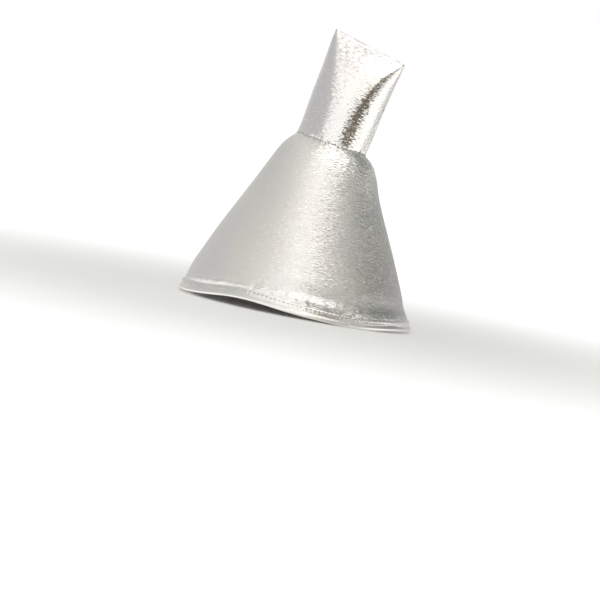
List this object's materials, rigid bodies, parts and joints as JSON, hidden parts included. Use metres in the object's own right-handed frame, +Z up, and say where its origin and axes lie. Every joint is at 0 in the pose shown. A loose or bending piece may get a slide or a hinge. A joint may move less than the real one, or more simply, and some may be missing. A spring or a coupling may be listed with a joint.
{
  "type": "funnel-shaped party hat",
  "caption": "Soft foam-backed metallic cloth costume hat: a cone with a bound brim that fits over the head, and a leaning, flat-topped spout sewn to its crown",
  "frame": {"origin": "centre of the brim's resting face, on the floor plane", "axes": "+Z up through the crown, -Y the front, +X the side the spout leans to"},
  "size_m": [0.1638, 0.1638, 0.1944],
  "materials": {
    "silver_lame": "silver foil lame, crinkled, soft sheen",
    "backing_foam": "thin polyurethane wadding laminated to the cloth",
    "tricot_lining": "white brushed tricot, matte",
    "silver_thread": "polyester sewing thread, soft sheen",
    "white_thread": "polyester overlock thread, matte",
    "loop_ribbon": "woven polyester ribbon",
    "label_satin": "blank satin label"
  },
  "bodies": {
    "cone": {"cone_shell": "silver_lame", "cone_foam": "backing_foam", "cone_lining": "tricot_lining", "back_seam_allowance": "tricot_lining", "back_seam_thread": "white_thread", "brim_binding": "silver_lame", "binding_thread": "silver_thread", "crown_seam_thread": "silver_thread", "spout_collar": "silver_lame", "elastic_loop_left": "loop_ribbon", "elastic_loop_right": "loop_ribbon", "loop_thread": "white_thread", "care_label": "label_satin", "label_thread": "white_thread"},
    "spout": {"spout_front_panel": "silver_lame", "spout_back_panel": "silver_lame", "spout_front_foam": "backing_foam", "spout_back_foam": "backing_foam", "spout_side_thread": "silver_thread", "spout_top_thread": "silver_thread"}
  },
  "joints": [
    {"name": "spout_lean", "type": "hinge", "parent": "cone", "child": "spout", "pos_m": [0.0045, 0, 0.1235], "axis": [0, 1, 0], "range_deg": [-15, 12], "stiffness_Nm_per_rad": 0.04, "deforming": ["spout_collar"]}
  ]
}
